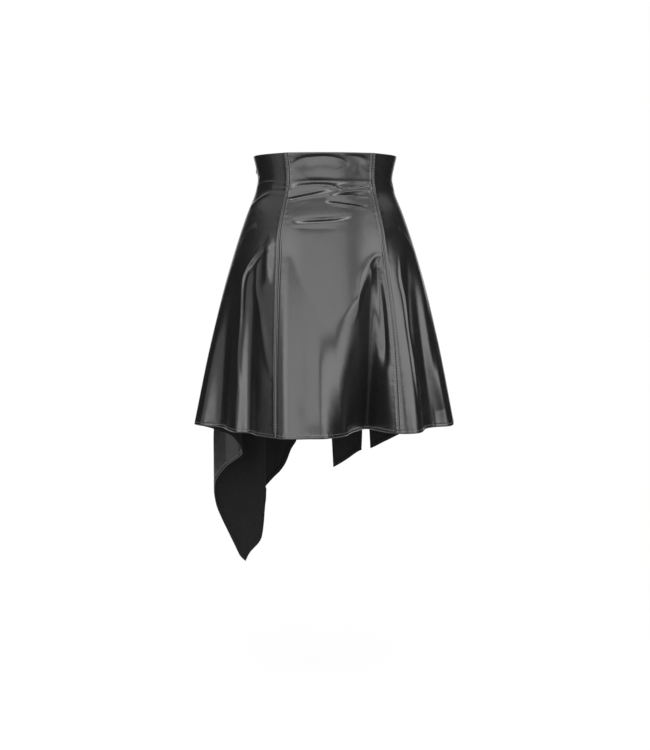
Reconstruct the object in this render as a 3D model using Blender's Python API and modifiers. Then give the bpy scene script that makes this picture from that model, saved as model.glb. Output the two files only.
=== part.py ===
"""A high-waisted leather midi skirt with a long pointed front, filled out as it is worn.

+Z is up, -Y is the back, +Y the front and +X the wearer's right. The origin is the middle of the
waist at its narrowest girth, where the wearer holds the skirt up. Sizes are in millimetres and
angles in degrees. An angle runs round the girth: 0 is the centre back, 90 the wearer's right side,
180 the centre front and -90 the left side.

Six leather gores are cut from one worked-out surface. It has two ingredients: SECTIONS, the smooth
fitted body from the top edge to the hem, and FOLD_LINES, which say where each soft fold leaves that
body and where its foot stands on the ground plan of the hem. A concealed zip closes the left seam.
"""

import math
from collections import namedtuple

import bpy
import numpy as np
from mathutils import Matrix, Vector

MM = 0.001

# ---- Driving sizes ----
LEATHER = 1.2  # thickness of the coated leather cloth
SEAM_GAP = 0.5  # open line between two sewn gores
TOP_EDGE = 40.5  # height of the top edge over the narrowest girth
HIP_LINE = -150.0  # the skirt is fitted above this height and flares below it
HEM = -463.0  # height of the level back hem
POINT = -771.0  # height of the tip of the long front point
SLIT_TOP = -250.0  # where the centre front slit opens
SHORT_SLIT_TOP = -330.0  # where the slit beside it opens
HANG_BLEND = 100.0  # over this height, above and below the back hem, the front comes to hang
FITTED_ROWS = 9  # rows of faces from the top edge to the hip line
END_COLUMN = 0.4  # width of a gore's first and last columns of faces, as a share of the others

# ---- The fitted body: one row for each girth, top to hem ----
Section = namedtuple("Section", "name height half_width back_depth front_depth")
SECTIONS = (
    Section("top edge", TOP_EDGE, 134.2, 97.5, 97.5),
    Section("under the top edge", 20.0, 129.4, 94.2, 94.2),
    Section("waist", 0.0, 126.0, 92.0, 92.0),
    Section("under the waist", -22.0, 129.4, 94.5, 94.0),
    Section("high hip", -65.0, 146.0, 107.5, 106.0),
    Section("hip", HIP_LINE, 174.5, 130.0, 128.0),
    Section("thigh", -300.0, 213.0, 165.0, 160.0),
    Section("hem", HEM, 246.0, 196.0, 190.0),
)

# ---- The stiff gores lie flatter than the body, so that they meet at a soft corner ----
CORNER_RISE = 6.0  # how far a corner stands out from the body
CORNER_SPREAD = 9.0  # degrees over which it dies away
CORNER_ROUND = 2.0  # degrees over which its tip is rounded
CORNER_FULL = -90.0  # it is at its full height above this
CORNER_END = -150.0  # and gone below this

# ---- The folds: angle of each, height where it leaves the body, foot on the plan of the hem ----
FoldLine = namedtuple("FoldLine", "name angle start foot_x foot_y")
FOLD_LINES = (
    FoldLine("left side crest", -90, -160, -246.7, 0),
    FoldLine("left side shoulder", -78, -160, -237, -35),
    FoldLine("left flank", -66, -140, -190, -60),
    FoldLine("left shallow trough", -60, -130, -178, -94),
    FoldLine("left crest", -54, -125, -163, -122),
    FoldLine("left crest edge", -48, -120, -139, -130),
    FoldLine("left trough", -37, -118, -119, -164),
    FoldLine("left trough wall", -30, -118, -90, -192),
    FoldLine("back left crest", -26, -118, -77, -205),
    FoldLine("back middle", -10, -200, -24, -206),
    FoldLine("back slope crest", -4, -300, -3, -204),
    FoldLine("back right slope", 4, -250, 30, -172),
    FoldLine("right trough wall", 18, -210, 56, -112),
    FoldLine("right trough", 28, -150, 80, -80),
    FoldLine("right trough rise", 33, -134, 97, -103),
    FoldLine("right seam wall", 37, -134, 113, -126),
    FoldLine("right seam crest", 41, -134, 132, -140),
    FoldLine("right seam shoulder", 47, -134, 152, -141),
    FoldLine("right crest", 55, -135, 176, -122),
    FoldLine("right narrow trough", 61, -120, 189, -72),
    FoldLine("right flank", 67, -110, 207, -52),
    FoldLine("right side shoulder", 75, -120, 232, -41),
    FoldLine("right side crest", 90, -160, 246.7, 0),
    FoldLine("front right crest", 108, -160, 228, 62),
    FoldLine("front right trough", 122, -160, 180, 98),
    FoldLine("front right flare", 138, -160, 148, 150),
    FoldLine("short slit", 158, -160, 85, 178),
    FoldLine("front strip", 172, -160, 45, 200),
    FoldLine("centre front slit", 185, -160, -15, 205),
    FoldLine("point fold crest", 204, -160, -128, 202),
    FoldLine("point fold hollow", 210, -160, -124, 165),
    FoldLine("point middle", 222, -160, -180, 155),
    FoldLine("point outer fold", 232, -160, -225, 120),
    FoldLine("point outer return", 240, -160, -200, 90),
    FoldLine("point inner fold", 248, -160, -165, 65),
    FoldLine("left front shoulder", 259, -160, -205, 33),
)

# ---- The cut edges: angle of each at a height. Above its first row an edge keeps that angle ----
EdgePoint = namedtuple("EdgePoint", "height angle")
LEFT_BACK_SEAM = (EdgePoint(TOP_EDGE, -29),)
RIGHT_BACK_SEAM = (
    EdgePoint(TOP_EDGE, 38),
    EdgePoint(0, 40),
    EdgePoint(-70, 38.5),
    EdgePoint(HIP_LINE, 38.7),
    EdgePoint(-220, 40),
    EdgePoint(-330, 41),
    EdgePoint(HEM, 41.5),
)
LEFT_SIDE_SEAM = (EdgePoint(TOP_EDGE, -106),)
RIGHT_SIDE_SEAM = (EdgePoint(TOP_EDGE, 101),)
SHORT_SLIT_SIDE = (EdgePoint(SHORT_SLIT_TOP, 158), EdgePoint(-536, 155))
SHORT_SLIT_FRONT = (EdgePoint(SHORT_SLIT_TOP, 158), EdgePoint(-536, 161))
STRIP_EDGE = (EdgePoint(SLIT_TOP, 185), EdgePoint(-420, 180.5), EdgePoint(-578, 178.5))
POINT_SEAM = (EdgePoint(TOP_EDGE, -175),)

# ---- The lower edges: height at an angle. The free edge runs from the slit down to the tip ----
LowerPoint = namedtuple("LowerPoint", "angle height")
TIP_ANGLE = -141
FREE_EDGE = (
    LowerPoint(-175, SLIT_TOP),
    LowerPoint(-172.5, -420),
    LowerPoint(-168.5, -525),
    LowerPoint(-166.8, -548),
    LowerPoint(-165.7, -570),
    LowerPoint(-164, -590),
    LowerPoint(-162, -603),
    LowerPoint(-159.5, -616),
    LowerPoint(-155.5, -627),
    LowerPoint(-150.5, -640),
    LowerPoint(-149, -664),
    LowerPoint(-148.4, -690),
    LowerPoint(-147.5, -716),
    LowerPoint(-146, -731),
    LowerPoint(-144, -743),
    LowerPoint(-142, -758),
    LowerPoint(TIP_ANGLE, POINT),
)
HEM_LINE = (
    LowerPoint(TIP_ANGLE, POINT),
    LowerPoint(-138.5, -756),
    LowerPoint(-136.2, -729),
    LowerPoint(-134, -699),
    LowerPoint(-132.2, -675),
    LowerPoint(-130, -648),
    LowerPoint(-128.5, -629),
    LowerPoint(-126, -600),
    LowerPoint(-123, -580),
    LowerPoint(-115, -543),
    LowerPoint(-111.5, -530),
    LowerPoint(-108.5, -511),
    LowerPoint(-106, -495),
    LowerPoint(-100.5, -481),
    LowerPoint(-92, -467),
    LowerPoint(-85, HEM),
    LowerPoint(-70, HEM),
    LowerPoint(78, HEM),
    LowerPoint(92, HEM),
    LowerPoint(115, -480),
    LowerPoint(135.5, -503),
    LowerPoint(146, -521),
    LowerPoint(155.5, -538),
    LowerPoint(161.5, -543),
    LowerPoint(178.5, -582),
)

# ---- The six gores: their edges seen from outside, and their columns and rows of faces ----
Gore = namedtuple("Gore", "name left_edge right_edge columns rows_below_hip")
GORES = (
    Gore("back_left", LEFT_SIDE_SEAM, LEFT_BACK_SEAM, 19, 11),
    Gore("back_centre", LEFT_BACK_SEAM, RIGHT_BACK_SEAM, 22, 11),
    Gore("back_right", RIGHT_BACK_SEAM, RIGHT_SIDE_SEAM, 14, 11),
    Gore("front_right", RIGHT_SIDE_SEAM, SHORT_SLIT_SIDE, 13, 11),
    Gore("front_strip", SHORT_SLIT_FRONT, STRIP_EDGE, 4, 11),
    Gore("front_point", POINT_SEAM, LEFT_SIDE_SEAM, 33, 14),
)

# ---- The concealed zip in the left side seam ----
ZIP_LENGTH = 200.0
TAPE_WIDTH = 22.0
TAPE = 1.0  # thickness of the tape
TAPE_GAP = 0.9  # between the leather and the tape behind it
TAPE_DROP = 2.0  # from the top edge down to the tape
TAPE_COLUMNS = 4
TAPE_ROWS = 12
SLIDER_WIDTH = 5.4
SLIDER_LENGTH = 8.0
SLIDER_DEPTH = 1.6
SLIDER_BEVEL = 0.4
SLIDER_DROP = 11.0  # from the top edge down to the middle of the slider
SLIDER_GAP = 0.3  # between the leather and the slider on it
EYE_RADIUS = 1.3  # to the middle of the wire of the slider's eye
EYE_WIRE = 0.35  # radius of that wire
EYE_STAND = 1.0  # from the slider's face to the middle of the eye, which is the joint axis
PULL_LENGTH = 18.5
PULL_TOP = 4.4  # width of the pull tab at its eye
PULL_FOOT = 6.0  # width of the pull tab near its round end
PULL_THICKNESS = 1.0
PULL_BAR = 1.0  # height of the bar that hangs in the slider's eye
PULL_SLOT_WIDTH = 2.2
PULL_SLOT_LENGTH = 2.4
PULL_BEVEL = 0.15

# ---- Finishes ----
LEATHER_COLOUR = (0.012, 0.012, 0.013)
TAPE_COLOUR = (0.010, 0.010, 0.011)
METAL_COLOUR = (0.045, 0.045, 0.048)


# ---- Reading the tables ----
def through(knots, values, at):
    """A smooth cubic curve through the rows of a table, read at one or many places inside it."""
    at = np.clip(at, knots[0], knots[-1])
    steps = np.diff(knots)
    slopes = np.diff(values) / steps
    tangents = np.empty_like(values)
    weighted = slopes[:-1] * steps[1:] + slopes[1:] * steps[:-1]
    tangents[1:-1] = weighted / (steps[1:] + steps[:-1])
    tangents[0], tangents[-1] = slopes[0], slopes[-1]
    i = np.clip(np.searchsorted(knots, at, side="right") - 1, 0, len(steps) - 1)
    t = (at - knots[i]) / steps[i]
    rise = t * t * (3 - 2 * t)
    bend = tangents[i] * t * (1 - t) ** 2 + tangents[i + 1] * t * t * (t - 1)
    return values[i] * (1 - rise) + values[i + 1] * rise + steps[i] * bend


def column(rows, name):
    """One named column of a table, as numbers."""
    return np.array([getattr(row, name) for row in rows], float)


def section_size(name, height):
    """A column of SECTIONS, whose rows run from high to low, read at a height."""
    return through(column(SECTIONS, "height")[::-1], column(SECTIONS, name)[::-1], height)


def fold_value(name, angle):
    """A column of FOLD_LINES, which closes on itself, read at an angle."""
    angles = column(FOLD_LINES, "angle")
    knots = np.concatenate([angles - 360, angles, angles + 360])
    return through(knots, np.tile(column(FOLD_LINES, name), 3), angle)


def edge_angle(edge, height):
    """The angle of a cut edge at a height."""
    height = np.asarray(height, float)
    if len(edge) == 1:
        return np.full_like(height, edge[0].angle)
    return through(column(edge, "height")[::-1], column(edge, "angle")[::-1], height)


def lower_edge(angle):
    """Where the cloth ends at an angle: on the free edge of the point, or past its tip on the hem."""
    free = through(column(FREE_EDGE, "angle"), column(FREE_EDGE, "height"), angle)
    hem = through(column(HEM_LINE, "angle"), column(HEM_LINE, "height"), angle)
    return np.where(angle < TIP_ANGLE, free, hem)


# ---- The surface of the skirt ----
def front_share(angle):
    """0 at the centre back, 1 at the centre front."""
    return (1 - np.cos(np.radians(angle))) / 2


def flare_height(angle, height):
    """The height whose flare a place has. Cloth below the back hem comes to hang straight down."""
    reach = HANG_BLEND * front_share(angle) ** 3 + 0.001
    blend = np.clip((height - HEM + reach) / (2 * reach), 0, 1)
    return np.where(height > HEM + reach, height, HEM + reach * blend**2)


def corner_rise(angle, height):
    """How far the corners between the back gores stand out from the body."""
    rise = np.zeros(np.broadcast(angle, height).shape)
    for seam in (LEFT_BACK_SEAM, RIGHT_BACK_SEAM):
        away = np.hypot(angle - edge_angle(seam, height), CORNER_ROUND) - CORNER_ROUND
        rise = rise + CORNER_RISE * np.exp(-away / CORNER_SPREAD)
    share = np.clip((height - CORNER_END) / (CORNER_FULL - CORNER_END), 0, 1)
    return rise * share * share * (3 - 2 * share)


def body_point(angle, height):
    """(x, y) on the fitted body and its corners."""
    back = section_size("back_depth", height)
    front = section_size("front_depth", height)
    depth = back + (front - back) * front_share(angle)
    turn = np.radians(angle)
    plan = np.array([section_size("half_width", height) * np.sin(turn), -depth * np.cos(turn)])
    return plan * (1 + corner_rise(angle, height) / np.hypot(plan[0], plan[1]))


def skirt_point(angle, height):
    """(x, y, z) on the outer face: the body, moved by the folds that have started above."""
    angle, height = np.broadcast_arrays(np.asarray(angle, float), np.asarray(height, float))
    flare = flare_height(angle, height)
    start = fold_value("start", angle)
    grown = np.clip((start - flare) / (start - HEM), 0, 1)
    soft = 0.06  # share of its length over which a fold comes up from the smooth body
    grown = np.where(grown < soft, grown**2 / (2 * soft), grown - soft / 2) / (1 - soft / 2)
    foot = np.array([fold_value("foot_x", angle), fold_value("foot_y", angle)])
    plan = body_point(angle, flare) + grown * (foot - body_point(angle, HEM))
    return np.stack([plan[0], plan[1], height], axis=-1)


def along_girth(angle, height):
    """How the surface runs at a place, in millimetres for each degree of angle."""
    small = 0.05
    ahead = skirt_point(angle + small, height)
    behind = skirt_point(angle - small, height)
    return (ahead - behind) / (2 * small)


def outward(angle, height):
    """The unit normal of the outer face."""
    small = 0.5
    up = skirt_point(angle, height + small) - skirt_point(angle, height - small)
    normal = np.cross(along_girth(angle, height), up)
    return normal / np.linalg.norm(normal, axis=-1, keepdims=True)


def inside_seam(angle, height, distance):
    """An angle moved round the girth by a distance on the cloth."""
    return angle + distance / np.linalg.norm(along_girth(angle, height), axis=-1)


# ---- Building ----
def remove_scene():
    for scene_object in list(bpy.data.objects):
        bpy.data.objects.remove(scene_object, do_unlink=True)


def add_collection(name):
    collection = bpy.data.collections.new(name)
    bpy.context.scene.collection.children.link(collection)
    return collection


def finish(name, colour, roughness, metallic=0.0):
    material = bpy.data.materials.new(name)
    material.use_nodes = True
    shader = material.node_tree.nodes["Principled BSDF"]
    shader.inputs["Base Color"].default_value = (*colour, 1)
    shader.inputs["Roughness"].default_value = roughness
    shader.inputs["Metallic"].default_value = metallic
    return material


def add_cloth(name, points, thickness, material, collection):
    """A wall of cloth: a loft through rows of points on its outer face, made solid inward."""
    rows, columns = points.shape[:2]
    number = np.arange(rows * columns).reshape(rows, columns)
    corners = (number[1:, :-1], number[1:, 1:], number[:-1, 1:], number[:-1, :-1])
    mesh = bpy.data.meshes.new(name)
    mesh.from_pydata(
        (points.reshape(-1, 3) * MM).tolist(),
        [],
        np.stack(corners, axis=-1).reshape(-1, 4).tolist(),
    )
    mesh.materials.append(material)
    mesh.shade_smooth()
    cloth = bpy.data.objects.new(name, mesh)
    collection.objects.link(cloth)
    wall = cloth.modifiers.new("Wall", "SOLIDIFY")
    wall.thickness = thickness * MM
    wall.offset = -1
    wall.use_even_offset = True
    return cloth


def column_shares(gore):
    """Where the columns stand: even on flat cloth, closer round a fold or down a steep edge."""
    shares = np.linspace(0, 1, 1201)
    left = edge_angle(gore.left_edge, HEM)
    right = edge_angle(gore.right_edge, HEM)
    angles = left + (right - left) * shares
    steps = np.diff(skirt_point(angles, HEM), axis=0)
    heading = np.unwrap(np.arctan2(steps[:, 1], steps[:, 0]))
    turn = np.abs(np.gradient(heading))
    drop = np.abs(np.diff(lower_edge(angles)))
    round_fold = 45.0  # length of cloth that counts as much as a turn of one radian
    steep_edge = 0.3  # length of cloth that counts as much as a unit of drop
    effort = np.linalg.norm(steps, axis=1) + round_fold * turn + steep_edge * drop
    travelled = np.concatenate([[0], np.cumsum(effort)])
    widths = np.ones(gore.columns)
    widths[[0, -1]] = END_COLUMN  # so that two gores meet at a flat angle
    wanted = np.concatenate([[0], np.cumsum(widths)]) / widths.sum() * travelled[-1]
    chosen = np.interp(wanted, travelled, shares)
    if left < TIP_ANGLE:
        tip = (TIP_ANGLE - left) / (right - left)
        chosen[np.argmin(np.abs(chosen - tip))] = tip
    return chosen


def gore_points(gore):
    """The grid of points of a gore, top to hem, inside half a seam gap from its edges."""

    def gore_angle(share, height):
        left = edge_angle(gore.left_edge, height)
        right = edge_angle(gore.right_edge, height)
        left = inside_seam(left, height, SEAM_GAP / 2)
        right = inside_seam(right, height, -SEAM_GAP / 2)
        return left + (right - left) * share

    shares = column_shares(gore)
    high, low = np.full_like(shares, TOP_EDGE), np.full_like(shares, POINT)
    for _ in range(30):
        middle = (high + low) / 2
        below_hem = middle < lower_edge(gore_angle(shares, middle))
        low = np.where(below_hem, middle, low)
        high = np.where(below_hem, high, middle)
    fitted = np.linspace(np.full_like(high, TOP_EDGE), np.full_like(high, HIP_LINE), FITTED_ROWS + 1)
    flared = np.linspace(np.full_like(high, HIP_LINE), high, gore.rows_below_hip + 1)
    heights = np.concatenate([fitted, flared[1:]])
    return skirt_point(gore_angle(shares, heights), heights)


def tape_points():
    """The zip tape lies behind the seam, its points moved in from the leather's outer face."""
    top = TOP_EDGE - TAPE_DROP
    heights = np.linspace(top, top - ZIP_LENGTH, TAPE_ROWS + 1)[:, None]
    across = np.linspace(-TAPE_WIDTH / 2, TAPE_WIDTH / 2, TAPE_COLUMNS + 1)[None, :]
    seam = edge_angle(LEFT_SIDE_SEAM, heights)
    angles = inside_seam(seam, heights, across)
    heights = np.broadcast_to(heights, angles.shape)
    depth = LEATHER + TAPE_GAP
    return skirt_point(angles, heights) - depth * outward(angles, heights)


def frame_at(place, across, up, out):
    """A world matrix from a place in millimetres and three unit directions."""
    matrix = Matrix.Identity(4)
    for index, direction in enumerate((across, up, out)):
        matrix.col[index] = (*direction, 0)
    matrix.col[3] = (*(Vector(place) * MM), 1)
    return matrix


def move_to(scene_object, collection):
    for old in list(scene_object.users_collection):
        old.objects.unlink(scene_object)
    collection.objects.link(scene_object)


def add_slider(place, metal, parts, cutters):
    """A small block on the seam with a wire eye on its face. Local X is across and Z outward."""
    bpy.ops.mesh.primitive_cube_add(size=1)
    slider = bpy.context.object
    slider.name = "zip_slider"
    slider.data.name = "zip_slider"
    size = (SLIDER_WIDTH * MM, SLIDER_LENGTH * MM, SLIDER_DEPTH * MM)
    slider.data.transform(Matrix.Diagonal((*size, 1)))
    slider.data.transform(Matrix.Translation((0, 0, -(EYE_STAND + SLIDER_DEPTH / 2) * MM)))
    slider.matrix_world = place
    slider.data.materials.append(metal)
    rounding = slider.modifiers.new("Rounding", "BEVEL")
    rounding.width = SLIDER_BEVEL * MM
    rounding.segments = 2
    bpy.ops.mesh.primitive_torus_add(
        major_radius=EYE_RADIUS * MM,
        minor_radius=EYE_WIRE * MM,
        major_segments=24,
        minor_segments=8,
    )
    eye = bpy.context.object
    eye.name = "slider_eye"
    eye.data.transform(Matrix.Rotation(math.pi / 2, 4, "Y"))
    eye.matrix_world = place
    eye.hide_render = True
    eye.display_type = "WIRE"
    join = slider.modifiers.new("Eye", "BOOLEAN")
    join.operation = "UNION"
    join.object = eye
    move_to(slider, parts)
    move_to(eye, cutters)
    return slider


def add_spline(curve, points, corners):
    """A closed Bezier outline. The first points, as many as corners says, are sharp."""
    spline = curve.splines.new("BEZIER")
    spline.bezier_points.add(len(points) - 1)
    for index, (point, target) in enumerate(zip(points, spline.bezier_points)):
        target.co = (point[0] * MM, point[1] * MM, 0)
        kind = "VECTOR" if index < corners else "AUTO"
        target.handle_left_type = kind
        target.handle_right_type = kind
    spline.use_cyclic_u = True
    spline.resolution_u = 6


def add_pull(place, metal, parts):
    """A flat tab with a slot at its top. Its origin is on the joint axis, in the top bar."""
    curve = bpy.data.curves.new("zip_pull", "CURVE")
    curve.dimensions = "2D"
    curve.fill_mode = "BOTH"
    curve.bevel_depth = PULL_BEVEL * MM
    curve.bevel_resolution = 1
    curve.extrude = (PULL_THICKNESS / 2 - PULL_BEVEL) * MM
    half_top = PULL_TOP / 2 - PULL_BEVEL
    half_foot = PULL_FOOT / 2 - PULL_BEVEL
    top = PULL_BAR / 2 - PULL_BEVEL
    foot = top - PULL_LENGTH + 2 * PULL_BEVEL
    slot_top = -PULL_BAR / 2 + PULL_BEVEL
    slot_bottom = slot_top - PULL_SLOT_LENGTH - 2 * PULL_BEVEL
    half_slot = PULL_SLOT_WIDTH / 2 + PULL_BEVEL
    neck = slot_bottom - 1
    outline = (
        (half_top, neck),
        (half_top, top),
        (-half_top, top),
        (-half_top, neck),
        (-half_foot, foot + half_foot),
        (0, foot),
        (half_foot, foot + half_foot),
    )
    slot = (
        (half_slot, slot_top),
        (half_slot, slot_bottom),
        (-half_slot, slot_bottom),
        (-half_slot, slot_top),
    )
    add_spline(curve, outline, 4)
    add_spline(curve, slot, 4)
    curve.materials.append(metal)
    pull = bpy.data.objects.new("zip_pull", curve)
    pull.matrix_world = place
    parts.objects.link(pull)
    return pull


def build():
    remove_scene()
    parts = add_collection("leather_midi_skirt")
    cutters = add_collection("cutters")
    leather = finish("black_leather", LEATHER_COLOUR, 0.36)
    tape_cloth = finish("zip_tape", TAPE_COLOUR, 0.85)
    metal = finish("zip_metal", METAL_COLOUR, 0.35, 1.0)

    for gore in GORES:
        add_cloth(gore.name, gore_points(gore), LEATHER, leather, parts)
    add_cloth("zip_tape", tape_points(), TAPE, tape_cloth, parts)

    # The slider lies along the leaning wall. The pull tab hangs plumb from its eye.
    seam = edge_angle(LEFT_SIDE_SEAM, TOP_EDGE)
    height = TOP_EDGE - SLIDER_DROP
    out = Vector(outward(seam, height))
    level = Vector((out.x, out.y, 0)).normalized()
    across = Vector((0, 0, 1)).cross(level)
    axis_stand = SLIDER_GAP + SLIDER_DEPTH + EYE_STAND
    axis = Vector(skirt_point(seam, height)) + axis_stand * out
    add_slider(frame_at(axis, across, out.cross(across), out), metal, parts, cutters)
    add_pull(frame_at(axis, across, (0, 0, 1), level), metal, parts)


build()
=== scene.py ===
"""A high-waisted black leather midi skirt with a long pointed front, worn and seen from behind.

Heights are from the narrowest girth and angles run round it: 0 is the centre back, 90 the
wearer's right side, 180 the centre front and -90 the left side. Tables are in millimetres.
"""

import math
from collections import namedtuple

import bpy
import numpy as np
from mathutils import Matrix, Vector


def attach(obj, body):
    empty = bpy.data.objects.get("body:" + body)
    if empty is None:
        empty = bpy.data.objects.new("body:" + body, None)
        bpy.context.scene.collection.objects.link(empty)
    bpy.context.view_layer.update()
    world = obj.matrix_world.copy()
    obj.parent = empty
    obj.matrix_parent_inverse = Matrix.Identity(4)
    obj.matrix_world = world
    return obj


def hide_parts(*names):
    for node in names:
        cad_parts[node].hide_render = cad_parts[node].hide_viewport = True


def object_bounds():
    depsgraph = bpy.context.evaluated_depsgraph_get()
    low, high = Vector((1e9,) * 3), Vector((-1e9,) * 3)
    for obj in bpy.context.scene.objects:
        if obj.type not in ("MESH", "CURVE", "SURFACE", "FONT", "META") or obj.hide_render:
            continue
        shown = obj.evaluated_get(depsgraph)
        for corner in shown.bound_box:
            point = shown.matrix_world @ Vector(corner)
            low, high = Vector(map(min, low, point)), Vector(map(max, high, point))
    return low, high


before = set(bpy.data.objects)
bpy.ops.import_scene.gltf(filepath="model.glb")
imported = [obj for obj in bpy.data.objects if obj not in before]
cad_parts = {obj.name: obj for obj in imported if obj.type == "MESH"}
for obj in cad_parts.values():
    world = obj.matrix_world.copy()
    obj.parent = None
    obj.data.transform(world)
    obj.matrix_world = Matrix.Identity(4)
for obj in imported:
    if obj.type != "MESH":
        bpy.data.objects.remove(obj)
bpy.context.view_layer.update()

# ----------------------------------------------------------
# The camera. It stands behind the wearer a little above the hem and looks slightly down.
# ----------------------------------------------------------
CAMERA_PLACE = (0.0, -2.25, -0.161)
CAMERA_PITCH = math.radians(90 - 5.3)
CAMERA_LENS = 56.93

camera_data = bpy.data.cameras.new("studio_camera")
camera_data.lens = CAMERA_LENS
camera_data.sensor_width = 36.0
camera = bpy.data.objects.new("studio_camera", camera_data)
camera.location = CAMERA_PLACE
camera.rotation_euler = (CAMERA_PITCH, 0, 0)
bpy.context.scene.collection.objects.link(camera)
bpy.context.scene.camera = camera

# ----------------------------------------------------------
# The centre back gore. Coated leather cloth 1.2 mm thick, cut with a flare, sewn to its two
# neighbours and turned up at the hem. The body and folds of the whole skirt are worked out here,
# since this is the first gore to need them.
# ----------------------------------------------------------
MM = 0.001
LEATHER = 1.2
TOP_EDGE = 40.5
HEM = -463.0
POINT = -771.0
SLIT_TOP = -250.0
SHORT_SLIT_TOP = -330.0
HANG_BLEND = 100.0
# The stiff gores lie flatter than the body, so that they meet at soft corners down to the hip.
CORNER_RISE = 6.0
CORNER_SPREAD = 9.0
CORNER_ROUND = 2.0
CORNER_FULL = -90.0
CORNER_END = -150.0
FOLD_SOFT = 0.06  # share of its length over which a fold comes up from the body

Section = namedtuple("Section", "height half_width back_depth front_depth")
SECTIONS = (
    Section(TOP_EDGE, 134.2, 97.5, 97.5),
    Section(20.0, 129.4, 94.2, 94.2),
    Section(0.0, 126.0, 92.0, 92.0),
    Section(-22.0, 129.4, 94.5, 94.0),
    Section(-65.0, 146.0, 107.5, 106.0),
    Section(-150.0, 174.5, 130.0, 128.0),
    Section(-300.0, 213.0, 165.0, 160.0),
    Section(HEM, 246.0, 196.0, 190.0),
)

FoldLine = namedtuple("FoldLine", "name angle start foot_x foot_y")
FOLD_LINES = (
    FoldLine("left side crest", -90, -160, -246.7, 0),
    FoldLine("left side shoulder", -78, -160, -237, -35),
    FoldLine("left flank", -66, -140, -190, -60),
    FoldLine("left shallow trough", -60, -130, -178, -94),
    FoldLine("left crest", -54, -125, -163, -122),
    FoldLine("left crest edge", -48, -120, -139, -130),
    FoldLine("left trough", -37, -118, -119, -164),
    FoldLine("left trough wall", -30, -118, -90, -192),
    FoldLine("back left crest", -26, -118, -77, -205),
    FoldLine("back middle", -10, -200, -24, -206),
    FoldLine("back slope crest", -4, -232, -3, -204),
    FoldLine("back right slope", 4, -250, 30, -172),
    FoldLine("right trough wall", 18, -210, 56, -112),
    FoldLine("right trough", 28, -150, 80, -80),
    FoldLine("right trough rise", 33, -134, 97, -103),
    FoldLine("right seam wall", 37, -134, 113, -126),
    FoldLine("right seam crest", 41, -134, 132, -140),
    FoldLine("right seam shoulder", 47, -134, 152, -141),
    FoldLine("right crest", 55, -135, 176, -122),
    FoldLine("right narrow trough", 61, -120, 189, -72),
    FoldLine("right flank", 67, -110, 207, -52),
    FoldLine("right side shoulder", 75, -120, 232, -41),
    FoldLine("right side crest", 90, -160, 246.7, 0),
    FoldLine("front right crest", 108, -160, 228, 62),
    FoldLine("front right trough", 122, -160, 180, 98),
    FoldLine("front right flare", 138, -160, 148, 150),
    FoldLine("short slit", 158, -160, 85, 178),
    FoldLine("front strip", 172, -160, 45, 200),
    FoldLine("centre front slit", 185, -160, -15, 205),
    FoldLine("point fold crest", 204, -160, -128, 202),
    FoldLine("point fold hollow", 210, -160, -124, 165),
    FoldLine("point middle", 222, -160, -180, 155),
    FoldLine("point outer fold", 232, -160, -225, 120),
    FoldLine("point outer return", 240, -160, -200, 90),
    FoldLine("point inner fold", 248, -160, -165, 65),
    FoldLine("left front shoulder", 259, -160, -205, 33),
)

# A cut edge: its angle at each height, and the height below which it is open, not sewn.
EdgePoint = namedtuple("EdgePoint", "height angle")
SeamEdge = namedtuple("SeamEdge", "points open_below")
SEWN_THROUGHOUT = -9999
LEFT_BACK_SEAM = SeamEdge((EdgePoint(TOP_EDGE, -29),), SEWN_THROUGHOUT)
RIGHT_BACK_SEAM = SeamEdge(
    (
        EdgePoint(TOP_EDGE, 38),
        EdgePoint(0, 40),
        EdgePoint(-70, 38.5),
        EdgePoint(-150, 38.7),
        EdgePoint(-220, 40),
        EdgePoint(-330, 41),
        EdgePoint(HEM, 41.5),
    ),
    SEWN_THROUGHOUT,
)

LowerPoint = namedtuple("LowerPoint", "angle height")
TIP_ANGLE = -141
FREE_EDGE = (
    LowerPoint(-175, SLIT_TOP),
    LowerPoint(-172.5, -420),
    LowerPoint(-168.5, -525),
    LowerPoint(-166.8, -548),
    LowerPoint(-165.7, -570),
    LowerPoint(-164, -590),
    LowerPoint(-162, -603),
    LowerPoint(-159.5, -616),
    LowerPoint(-155.5, -627),
    LowerPoint(-150.5, -640),
    LowerPoint(-149, -664),
    LowerPoint(-148.4, -690),
    LowerPoint(-147.5, -716),
    LowerPoint(-146, -731),
    LowerPoint(-144, -743),
    LowerPoint(-142, -758),
    LowerPoint(TIP_ANGLE, POINT),
)
HEM_LINE = (
    LowerPoint(TIP_ANGLE, POINT),
    LowerPoint(-138.5, -756),
    LowerPoint(-136.2, -729),
    LowerPoint(-134, -699),
    LowerPoint(-132.2, -675),
    LowerPoint(-130, -648),
    LowerPoint(-128.5, -629),
    LowerPoint(-126, -600),
    LowerPoint(-123, -580),
    LowerPoint(-115, -543),
    LowerPoint(-111.5, -530),
    LowerPoint(-108.5, -511),
    LowerPoint(-106, -495),
    LowerPoint(-100.5, -481),
    LowerPoint(-92, -467),
    LowerPoint(-85, HEM),
    LowerPoint(-70, HEM),
    LowerPoint(78, HEM),
    LowerPoint(92, HEM),
    LowerPoint(115, -480),
    LowerPoint(135.5, -503),
    LowerPoint(146, -521),
    LowerPoint(155.5, -538),
    LowerPoint(161.5, -543),
    LowerPoint(178.5, -582),
)


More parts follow.
